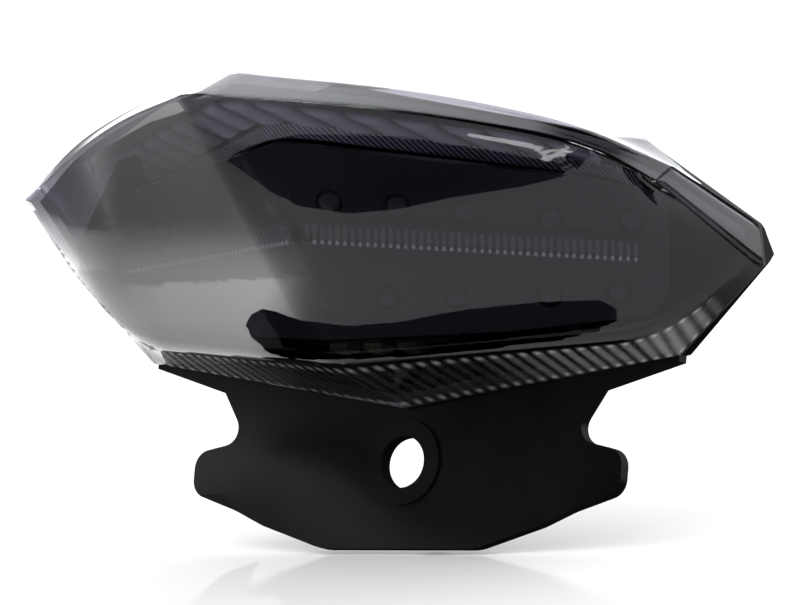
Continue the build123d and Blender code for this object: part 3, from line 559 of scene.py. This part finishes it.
PLASTICS = {
    "black_housing": dict(
        base=(0.0016, 0.0017, 0.0022), patches=(0.0034, 0.0036, 0.0046), rough=0.38,
        rough_spread=0.06, grain=1900, bump=0.10, patch_scale=38, specular=0.0, edge=0.03,
        film=0.014),
    "charcoal_reflector": dict(
        base=(0.019, 0.0195, 0.021), patches=(0.031, 0.032, 0.035), rough=0.42,
        grain=2600, bump=0.08, patch_scale=45, specular=0.45),
    "seal_rubber": dict(
        base=(0.012, 0.012, 0.013), patches=(0.020, 0.020, 0.021), rough=0.65, grain=1500,
        bump=0.12),
    "circuit_board": dict(
        base=(0.005, 0.012, 0.009), patches=(0.008, 0.019, 0.013), rough=0.38, grain=3000,
        patch_scale=420),
    "led_epoxy": dict(
        base=(0.16, 0.165, 0.17), patches=(0.22, 0.225, 0.23), rough=0.10,
        rough_spread=0.04, grain=900, bump=0.02, patch_scale=200, specular=0.7,
        transmission=0.55, edge=0.1),
    "led_white": dict(
        base=(0.16, 0.16, 0.14), patches=(0.22, 0.20, 0.10), rough=0.35, grain=1500,
        bump=0.03, patch_scale=500),
    "ceramic_black": dict(
        base=(0.018, 0.018, 0.019), patches=(0.030, 0.030, 0.032), rough=0.5, grain=1800,
        bump=0.06),
    "zinc_screw": dict(
        base=(0.52, 0.53, 0.55), patches=(0.66, 0.66, 0.66), rough=0.32, rough_spread=0.10,
        grain=1400, bump=0.08, patch_scale=260, metallic=1.0),
    "brass_insert": dict(
        base=(0.60, 0.44, 0.18), patches=(0.74, 0.58, 0.28), rough=0.30, rough_spread=0.10,
        grain=1200, bump=0.08, patch_scale=240, metallic=1.0),
    "vent_plastic": dict(
        base=(0.030, 0.031, 0.033), patches=(0.046, 0.047, 0.050), rough=0.55, grain=1600,
        bump=0.10),
    "seal_orange": dict(
        base=(0.62, 0.17, 0.03), patches=(0.74, 0.24, 0.05), rough=0.55, grain=900,
        bump=0.06, scatter=0.1),
    "cable_pvc": dict(
        base=(0.014, 0.014, 0.015), patches=(0.024, 0.024, 0.026), rough=0.46, grain=1100,
        bump=0.12, patch_scale=120),
    "plug_plastic": dict(
        base=(0.050, 0.051, 0.055), patches=(0.070, 0.071, 0.076), rough=0.48, grain=1700,
        bump=0.10),
    "lock_plastic": dict(
        base=(0.62, 0.62, 0.58), patches=(0.72, 0.71, 0.66), rough=0.45, grain=1500,
        bump=0.06, scatter=0.1),
    "tinned_brass": dict(
        base=(0.62, 0.60, 0.55), patches=(0.74, 0.72, 0.66), rough=0.28, grain=1300,
        metallic=1.0),
    "link_wire_insulation": dict(
        WIRE_LOOK, base=(0.40, 0.40, 0.40), patches=(0.52, 0.52, 0.52)),
    "frosted_rib_feet": dict(
        base=(0.93, 0.94, 0.95), patches=(0.97, 0.97, 0.98), rough=0.22, grain=1500,
        bump=0.02, patch_scale=300, specular=0.8),
}
WIRE_COLOURS = {
    "wire_ground": (0.012, 0.012, 0.013),
    "wire_tail": (0.30, 0.10, 0.03),
    "wire_brake": (0.45, 0.015, 0.012),
    "wire_turn_left": (0.55, 0.42, 0.03),
    "wire_turn_right": (0.02, 0.16, 0.05),
}
PIECE_MATERIALS = {
    "rear_housing": "black_housing", "lens_seal": "seal_rubber",
    "reflector": "charcoal_reflector",
    "led_board_left": "circuit_board", "led_board_right": "circuit_board",
    "brake_leds": "led_epoxy", "tail_leds": "led_epoxy",
    "turn_leds_left": "led_epoxy", "turn_leds_right": "led_epoxy",
    "resistors_left": "ceramic_black", "resistors_right": "ceramic_black",
    "board_screws": "zinc_screw", "housing_screws": "zinc_screw",
    "screw_seals": "seal_orange", "plate_light_board": "circuit_board",
    "plate_light_leds": "led_white", "plate_board_screws": "zinc_screw",
    "mounting_inserts": "brass_insert", "vent_cap": "vent_plastic",
    "cable_grommet": "seal_rubber", "cable_jacket": "cable_pvc",
    "link_wires": "link_wire_insulation",
    "plug_housing": "plug_plastic", "plug_terminals": "tinned_brass",
    "plug_wire_seals": "seal_orange", "plug_lock": "lock_plastic",
}

materials = {name: clear_plastic(name, **look) for name, look in CLEAR_PLASTICS.items()}
materials.update({name: plastic(name, **look) for name, look in PLASTICS.items()})
for wire, colour in WIRE_COLOURS.items():
    name = wire + "_insulation"
    lighter = tuple(min(1, c * 1.5 + 0.01) for c in colour)
    materials[name] = plastic(name, base=colour, patches=lighter, **WIRE_LOOK)
    PIECE_MATERIALS[wire] = name

for name, material_name in PIECE_MATERIALS.items():
    slots = nodes[name].data.materials
    slots.clear()
    slots.append(materials[material_name])

# Small eased edges that catch the light: widths in mm
EASED_EDGES = {"rear_housing": 0.35, "reflector": 0.22, "plug_housing": 0.25,
               "plug_lock": 0.15, "vent_cap": 0.12, "cable_grommet": 0.2}
for name, width in EASED_EDGES.items():
    bevel = nodes[name].modifiers.new("eased", "BEVEL")
    bevel.width = width * MM
    bevel.segments = 2
    bevel.limit_method = "ANGLE"
    bevel.angle_limit = math.radians(38)
    bevel.harden_normals = False

# --------------------------------------------------------------- outer lens --
INNER_COUNT = len(lens_verts) - OUTER_COUNT
# painted flute highlights, on the outer skin only
painted_flute_highlights = [painted_flute_highlight(p, j) for row in outer_rows for j, p in enumerate(row)]
# the eye sees one clean mirror image, from the outer skin
lens = piece("smoked_outer_lens", lens_verts, lens_faces(), materials["smoked_lens"],
             sharp_deg=50,
             marks={"flute_highlight": painted_flute_highlights + [0.0] * INNER_COUNT,
                    "skin": [1.0] * OUTER_COUNT + [0.10] * INNER_COUNT})
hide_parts("outer_lens")

# -------------------------------------------------- guide under the roof ----
BAND_NOSE = (-62.5, 67.8)       # (y, z) where the two straight halves would meet
BAND_SWEEP, BAND_DROP = 0.7164, 0.051   # y gained and z lost per mm outwards
BAND_STRAIGHT = 56.0            # where the straight part ends
BAND_TURN, TURN_DROP = 9.0, 0.25    # length of the outer turn and the slope it adds


def band_line(x):
    """Top edge of the ribbed band at x: (y, z)."""
    s = smooth_abs(x, 9.0)
    straight = min(s, BAND_STRAIGHT)
    y = BAND_NOSE[0] + BAND_SWEEP * straight
    z = BAND_NOSE[1] - BAND_DROP * straight
    if s <= BAND_STRAIGHT:
        return y, z
    d = s - BAND_STRAIGHT
    if d < BAND_TURN:
        return (y + BAND_SWEEP * d - BAND_SWEEP * d * d / (2 * BAND_TURN),
                z - BAND_DROP * d - TURN_DROP * d * d / (2 * BAND_TURN))
    return (y + BAND_SWEEP * BAND_TURN / 2,
            z - 0.46 - TURN_DROP * BAND_TURN / 2 - (BAND_DROP + TURN_DROP) * (d - BAND_TURN))


def rods_mesh():
    """Shelf of rods that run from behind the ridge (+y) to beyond the band's line (-y)."""
    pitch, half, steps_along, steps_across = 8.6, 62.0, 496, 26
    rear, front_margin, reach = -2.6, 1.0, 19.0
    bottom, top, marks = [], [], []
    for i in range(steps_along + 1):
        x = -half + 2 * half * i / steps_along
        y0, z0 = band_line(x)
        fade = clamp((half - abs(x)) / 10.0)
        front = -reach * (0.35 + 0.65 * fade) - front_margin
        rod = math.sqrt(rod_square(x / pitch + 0.5))
        for j in range(steps_across + 1):
            f = j / steps_across
            y = y0 + (rear + (front - rear) * f)
            ends = clamp(f / 0.10, (1 - f) / 0.12) ** 0.5
            base = z0 + 0.25 + 1.35 * f
            bottom.append(at(Vector((x, y, base - 1.5 * rod * ends))))
            top.append(at(Vector((x, y, base + 0.55))))
            # painted light on the rod crowns, painted shade in the gaps between rods
            marks.append(rod ** 1.6 * ends)
    return bottom + top, slab_faces(steps_along, steps_across), marks + marks


def band_mesh():
    """Strip along the band line with fine ribs, slanted the same way on both halves."""
    pitch, lean, half, steps_along, steps_across = 1.25, 2.7, 70.5, 1410, 10
    height, rib_depth, thickness = 2.9, 0.34, 1.3
    front, back, marks = [], [], []
    for i in range(steps_along + 1):
        x = -half + 2 * half * i / steps_along
        y0, z0 = band_line(x)
        for j in range(steps_across + 1):
            f = j / steps_across
            rib = math.sin(math.pi * (((x - lean * f) / pitch) % 1.0))
            ends = clamp(f / 0.12, (1 - f) / 0.12)
            y, z = y0 + 1.3 * f - 0.2, z0 - height * f
            front.append(at(Vector((x, y - rib_depth * rib * ends, z))))
            back.append(at(Vector((x, y + thickness, z))))
            # painted light on the rib crests, painted shade between the ribs
            marks.append(rib ** 3)
    return front + back, slab_faces(steps_along, steps_across), marks + marks


verts, faces, marks = rods_mesh()
rods = piece("upper_light_guide_rods", verts, faces, materials["clear_guide"],
             sharp_deg=55, marks={"rod": marks})
verts, faces, marks = band_mesh()
piece("upper_light_guide_band", verts, faces, materials["ribbed_clear_band"],
      sharp_deg=60, marks={"rib": marks})
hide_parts("upper_light_guide")

# ------------------------------------------------------- centre light strip --
# Reflector plane on the +x half
PLANE_ORIGIN = Vector((-0.87, -31.09, 19.95))
PLANE_OUT = Vector((0.91093, 0.41257, 0.0))
PLANE_UP = Vector((0.22322, -0.49285, 0.84100))
PLANE_INTO = Vector((-0.347, 0.766, 0.541)).normalized()

RIB_PITCH, RIB_HEIGHT = 1.74, 0.75
STRIP_END = 71.0
STRIP_BACK = 0.12
FEET_UP = 28.45     # the rail's upper edge, where the ribs' feet stand


def on_plane(u, w, h, side):
    """Place on the reflector plane: u outwards, w up, h off the plane, side +1 or -1 in x."""
    p = PLANE_ORIGIN + PLANE_OUT * u + PLANE_UP * w - PLANE_INTO * h
    return Vector((p.x * side, p.y, p.z))


def rib_height(u, f):
    ends = clamp(f / 0.12, (1 - f) / 0.2) ** 0.5
    return RIB_HEIGHT * math.sqrt(rod_square(u / RIB_PITCH)) * ends


def lower_rail_height(u, f):
    return 0.9 * math.sin(math.pi * f)


def upper_rail_height(u, f):
    return 0.4 * math.sin(math.pi * f)


# (start u, low w, high w, base h, steps along u, steps along w, height over the base)
STRIP_BLOCKS = [
    (-5.3, 28.6, 33.2, 1.3, 540, 12, rib_height),
    (-5.3, 27.4, FEET_UP, 1.2, 60, 6, lower_rail_height),
    (-6.6, 33.35, 34.1, 0.6, 60, 5, upper_rail_height),
]


def strip_mesh():
    """On each half, ribs between a lower and an upper rail."""
    verts, faces, marks = [], [], []
    for side in (1, -1):
        for u0, w0, w1, base, steps_u, steps_w, height in STRIP_BLOCKS:
            first = len(verts)
            back = []
            for i in range(steps_u + 1):
                u = u0 + (STRIP_END - u0) * i / steps_u
                for j in range(steps_w + 1):
                    w = w0 + (w1 - w0) * j / steps_w
                    rise = height(u, (w - w0) / (w1 - w0))
                    verts.append(at(on_plane(u, w, base + rise, side)))
                    back.append(at(on_plane(u, w, STRIP_BACK, side)))
                    # painted light on the rib and rail crests, painted shade at their feet
                    marks.append(min(1.0, rise / RIB_HEIGHT) ** 2)
            verts += back
            # the backs take the painted shade colour
            marks += [0.0] * len(back)
            faces += slab_faces(steps_u, steps_w, first)
    return verts, faces, marks


def rib_feet():
    """A bead at the foot of every rib."""
    radius, off_plane = 0.46, 2.15
    stretch = Matrix.Diagonal((1.0, 1.0, 1.25, 1.0))
    bm = bmesh.new()
    for side in (1, -1):
        for k in range(-2, 41):
            centre = at(on_plane((k + 0.5) * RIB_PITCH, FEET_UP, off_plane, side))
            bmesh.ops.create_icosphere(bm, subdivisions=2, radius=radius * MM,
                                       matrix=Matrix.Translation(centre) @ stretch)
    mesh = bpy.data.meshes.new("strip_beads")
    for face in bm.faces:
        face.smooth = True
    bm.to_mesh(mesh)
    bm.free()
    assign(link_object("strip_rib_feet", mesh), materials["frosted_rib_feet"])


verts, faces, marks = strip_mesh()
strip = piece("ribbed_centre_strip", verts, faces, materials["clear_strip"],
              sharp_deg=60, marks={"rib": marks})
rib_feet()
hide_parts("centre_light_strip")

# ------------------------------------------------------------------- camera --
CAMERA_PLACE = at((933.88, -1341.82, -212.03))
VIEW_RIGHT = turn((0.82400, 0.56046, 0.08307))
VIEW_UP = turn((0.01708, -0.17112, 0.98510))
VIEW_AHEAD = turn((-0.56633, 0.81031, 0.15057))


def add_camera():
    data = bpy.data.cameras.new("camera")
    camera = link_object("camera", data)
    columns = (VIEW_RIGHT, VIEW_UP, -VIEW_AHEAD, CAMERA_PLACE)
    camera.matrix_world = Matrix([[column[i] for column in columns] for i in range(3)]
                                 + [[0, 0, 0, 1]])
    data.sensor_width = 36.0
    data.lens = 320.301859
    data.clip_start = 0.05
    data.clip_end = 50
    scene.camera = camera


add_camera()

# -------------------------------------------------------------------- floor --
FLOOR_HALF = 6
FLOOR_GAP = 0.0006      # clearance under the lowest point of the product


def floor_material():
    material, tree = new_material("pale_floor")
    clouds = noise(tree, object_place(tree), scale=3.0, detail=2.0, roughness=0.5)
    colour = mix_colour(tree, clouds, (0.93, 0.93, 0.93, 1), (0.955, 0.955, 0.955, 1))
    diffuse = add_node(tree, "ShaderNodeBsdfDiffuse", {"Color": colour}).outputs[0]
    glossy = add_node(tree, "ShaderNodeBsdfGlossy", {"Roughness": 0.12}).outputs[0]
    set_surface(tree, mix_shader(tree, 0.10, diffuse, glossy))
    return material


def add_floor():
    z = cad_lo.z - FLOOR_GAP
    corners = [(x * FLOOR_HALF, y * FLOOR_HALF, z)
               for x, y in ((-1, -1), (1, -1), (1, 1), (-1, 1))]
    mesh = bpy.data.meshes.new("floor")
    mesh.from_pydata(corners, [], [(0, 1, 2, 3)])
    floor = link_object("floor", mesh)
    mesh.materials.append(floor_material())
    floor.visible_glossy = False


add_floor()

# -------------------------------------------------------------------- world --
# Strengths that mirrors see, by direction
FLOOR_LEFT, FLOOR_FRONT = 0.60, 0.88    # low on the -y side, far -x and elsewhere
DARK_ROOM = 0.02                        # high on the -y side
BACK_LOW_LEFT, BACK_LOW = 0.9, 0.05     # +y side
BACK_HIGH_LEFT, BACK_HIGH = 0.5, 2.7
EYE_STRENGTH, FILL_STRENGTH = 1.05, 1.50


def add_world():
    """White to the eye, even light on surfaces, and its own surroundings for mirrors."""
    world = bpy.data.worlds.new("studio")
    scene.world = world
    world.use_nodes = True
    tree = world.node_tree
    tree.nodes.clear()
    generated = add_node(tree, "ShaderNodeTexCoord").outputs["Generated"]
    axes = add_node(tree, "ShaderNodeSeparateXYZ", {0: generated}).outputs

    def step(axis, low, high, start=0.0, end=1.0):
        return map_range(tree, axes[axis], low, high, start, end,
                         interpolation_type="SMOOTHSTEP")

    def below(axis, low, high):
        return step(axis, low, high, start=1.0, end=0.0)

    floor_part = step("X", -0.80, -0.45, start=FLOOR_LEFT, end=FLOOR_FRONT)
    front = mix_value(tree, below("Z", -0.30, -0.05), DARK_ROOM, floor_part)
    back_low = mix_value(tree, below("X", -0.78, -0.66), BACK_LOW, BACK_LOW_LEFT)
    back_high = mix_value(tree, below("X", -0.80, -0.62), BACK_HIGH, BACK_HIGH_LEFT)
    back = mix_value(tree, below("Z", -0.35, -0.10), back_high, back_low)
    strength = mix_value(tree, step("Y", -0.06, 0.20), front, back)
    # cool white, warmer high on the far -x side
    warm = calculate(tree, "MULTIPLY", below("X", -0.80, -0.62), step("Z", 0.05, 0.25))
    tone = mix_colour(tree, warm, (0.95, 0.965, 1.0, 1), (1.0, 0.76, 0.72, 1))

    def background(**inputs):
        return add_node(tree, "ShaderNodeBackground", inputs).outputs[0]

    rays = add_node(tree, "ShaderNodeLightPath").outputs
    light = mix_shader(tree, rays["Is Glossy Ray"], background(Strength=FILL_STRENGTH),
                       background(Strength=strength, Color=tone))
    seen = mix_shader(tree, rays["Is Camera Ray"], light, background(Strength=EYE_STRENGTH))
    set_surface(tree, seen, output="ShaderNodeOutputWorld")


add_world()


# ---------------------------------------------------------------- key light --
def add_key_light():
    data = bpy.data.lights.new("key", "AREA")
    data.shape = "RECTANGLE"
    data.size = 0.7
    data.size_y = 0.5
    data.energy = 2.4
    data.color = (1, 1, 1)
    light = link_object("key", data)
    place, target = Vector((-0.55, -0.55, 0.85)), Vector((0, 0, 0.03))
    light.location = place
    light.rotation_mode = "QUATERNION"
    light.rotation_quaternion = (target - place).to_track_quat("-Z", "Y")
    light.visible_glossy = False


add_key_light()

# -------------------------------------------- cards that the lens mirrors ---
# Sight lines are given as (u, v): mm right and mm up of the view axis, one metre ahead of
# the camera. All card outlines and glow limits below are in these units.
skin_tree = BVHTree.FromPolygons([tuple(v) for v in lens_verts[:OUTER_COUNT]],
                                 grid_faces(len(outer_rows), COLS))


def mirrored(u, v):
    """Where sight line (u, v) meets the lens skin and how it leaves it, or None."""
    sight = (VIEW_RIGHT * (u / 1000) + VIEW_UP * (v / 1000) + VIEW_AHEAD).normalized()
    place, normal, _, _ = skin_tree.ray_cast(CAMERA_PLACE, sight, 5.0)
    if place is None:
        return None
    if normal.dot(sight) > 0:
        normal = -normal
    return place, (sight - normal * (2 * sight.dot(normal))).normalized()


def emitter(name, strength=None):
    """Emission of the given strength, or of the glow attribute."""
    material, tree = new_material(name)
    inputs = {"Strength": mark_value(tree, "glow") if strength is None else strength}
    set_surface(tree, add_node(tree, "ShaderNodeEmission", inputs).outputs[0])
    return material


def add_card(name, verts, faces, material, marks):
    """Studio card that shows only in mirrors."""
    mesh = bpy.data.meshes.new(name)
    mesh.from_pydata(verts, [], faces)
    set_marks(mesh, marks)
    card = link_object(name, mesh)
    mesh.materials.append(material)
    card.visible_camera = False
    card.visible_diffuse = False
    card.visible_shadow = False
    card.visible_transmission = False


def height_along(points, u):
    for (u0, v0), (u1, v1) in zip(points, points[1:]):
        if u <= u1:
            break
    return v0 + (v1 - v0) * (u - u0) / (u1 - u0)


def add_sheet(name, first, last, columns, rows, top, bottom, reach, glow,
              near=None, cone=None):
    """Curved card whose corners sit on mirrored sight lines, reach metres off the lens.

    The lens shows it with the outline between top and bottom, lists of (u, v). Lines
    that leave the cone round the direction near are left out."""
    grid, verts, values, faces = [], [], [], []
    for i in range(columns + 1):
        u = first + (last - first) * i / columns
        v_top, v_bottom = height_along(top, u), height_along(bottom, u)
        column = []
        for k in range(rows + 1):
            v = v_top + (v_bottom - v_top) * k / rows
            hit = mirrored(u, v)
            if hit is None or (near is not None and hit[1].dot(near) < cone):
                column.append(None)
                continue
            column.append(len(verts))
            verts.append(tuple(hit[0] + hit[1] * reach))
            values.append(glow(u, v))
        grid.append(column)
    for a, b in zip(grid, grid[1:]):
        for k in range(rows):
            face = (a[k], a[k + 1], b[k + 1], b[k])
            if None not in face:
                faces.append(face)
    add_card(name, verts, faces, emitter(name), {"glow": values})


def add_disc(name, centre, facing, radius, strength, sides=24):
    normal = facing.normalized()
    a = normal.orthogonal().normalized()
    b = normal.cross(a)
    angles = [2 * math.pi * k / sides for k in range(sides)]
    verts = [tuple(centre + a * (radius * math.cos(t)) + b * (radius * math.sin(t)))
             for t in angles]
    add_card(name, verts, [tuple(range(sides))], emitter(name, strength), {})


def left_glow(u, v):
    """A bright panel low on the left, a slow fade above it, blending to the floor's glow."""
    panel_top = 1.880197 + 0.055 * (u + 45.751452)
    if v > panel_top:
        glow = 0.45 + 1.15 * ease(12.325734, 3.133661, v)
    else:
        glow = 2.5 - 0.3 * ease(-1.044554, -6.615507, v)
        glow *= 1 - 0.4 * (1 - ease(-43.662345, -32.520438, u))
    # more towards the left edge
    glow += (1.2 if v > 4.526399 else 0.3) * (1 - ease(-47.562012, -38.927034, u))
    # past the nose the floor takes over, along a slanted border low down
    if v < 10.097352:
        past = ease(-19.707246, -11.350817, u + 0.35 * (2.437292 - v))
    else:
        past = ease(-26.253116, -14.414841, u)
    return glow * (1 - past) + FLOOR_FRONT * past


def black(u, v):
    return 0.0


def strip_glow(u, v):
    return 7.0


add_sheet(
    "flag_upper", first=-24.442557, last=22.353449, columns=56, rows=14,
    top=[(-24.442557, 20.125068), (-23.328366, 20.960711), (-19.707246, 22.353449),
         (-14.414841, 23.467640), (-0.487458, 23.189092), (13.439924, 20.960711),
         (22.631997, 19.289425)],
    bottom=[(-24.442557, 19.707246), (-21.935628, 17.896687), (-18.593056, 15.529032),
            (-14.414841, 13.439924), (-7.451150, 12.325734), (-0.487458, 13.022103),
            (6.476233, 14.554115), (16.225401, 16.086127), (22.631997, 17.618139)],
    reach=0.035, glow=black)
add_sheet(
    "flag_lower", first=-21.796354, last=29.734962, columns=74, rows=12,
    top=[(-21.796354, -2.715840), (-21.099985, -1.601649), (-19.707246, -0.905280),
         (-17.896687, -1.183828), (-14.414841, -2.437292), (-7.451150, -3.272935),
         (-0.487458, -2.715840), (5.083495, -1.601649), (9.261709, -0.905280),
         (19.010877, 0.069637), (27.367307, 0.348185), (29.317140, -0.626732),
         (30.431331, -1.880197)],
    bottom=[(-21.796354, -3.551483), (-20.542889, -5.640590), (-18.871603, -7.033328),
            (-15.807579, -7.868971), (-9.540257, -8.008245), (-0.487458, -7.590424),
            (10.654448, -6.615507), (21.796354, -5.222768), (28.481497, -3.690756),
            (29.595688, -2.855113), (30.431331, -2.158744)],
    reach=0.035, glow=black)
add_sheet(
    "soft_left", first=-50.626036, last=-8.147519, columns=61, rows=60,
    top=[(-50.626036, 13.161377), (-47.840559, 16.503948), (-42.269606, 21.239259),
         (-35.305915, 25.417473), (-30.292057, 26.810212), (-24.164009, 22.353449),
         (-8.008245, 21.517806)],
    bottom=[(-50.626036, 5.640590), (-45.751452, 0.348185), (-42.269606, -3.412209),
            (-38.091391, -6.336959), (-8.008245, -8.565340)],
    reach=0.06, glow=left_glow)
add_sheet(
    "strip_light", first=8.983162, last=25.696021, columns=30, rows=4,
    top=[(8.983162, 23.746187), (17.618139, 22.492723), (25.974569, 20.403616)],
    bottom=[(8.983162, 23.189092), (17.618139, 21.517806), (25.974569, 19.567973)],
    reach=0.04, glow=strip_glow, near=mirrored(16.225401, 21.239259)[1], cone=0.97)

add_disc("spark", centre=Vector((0.36, -0.42, 0.50)), facing=Vector((0.36, -0.42, 0.45)),
         radius=0.045, strength=36.0)
nose_place, nose_direction = mirrored(-29.456414, 29.317140)
add_disc("nose_light", centre=nose_place + nose_direction * 0.25, facing=nose_direction,
         radius=0.035, strength=16.0)
add_disc("hole_flag", centre=at((0, 14, 0)), facing=turn((0, 1, 0)),
         radius=0.014, strength=0.0)

# ------------------------------------------------------------------- output --
scene.view_settings.view_transform = "Standard"
scene.view_settings.look = "None"
scene.view_settings.exposure = 0.0
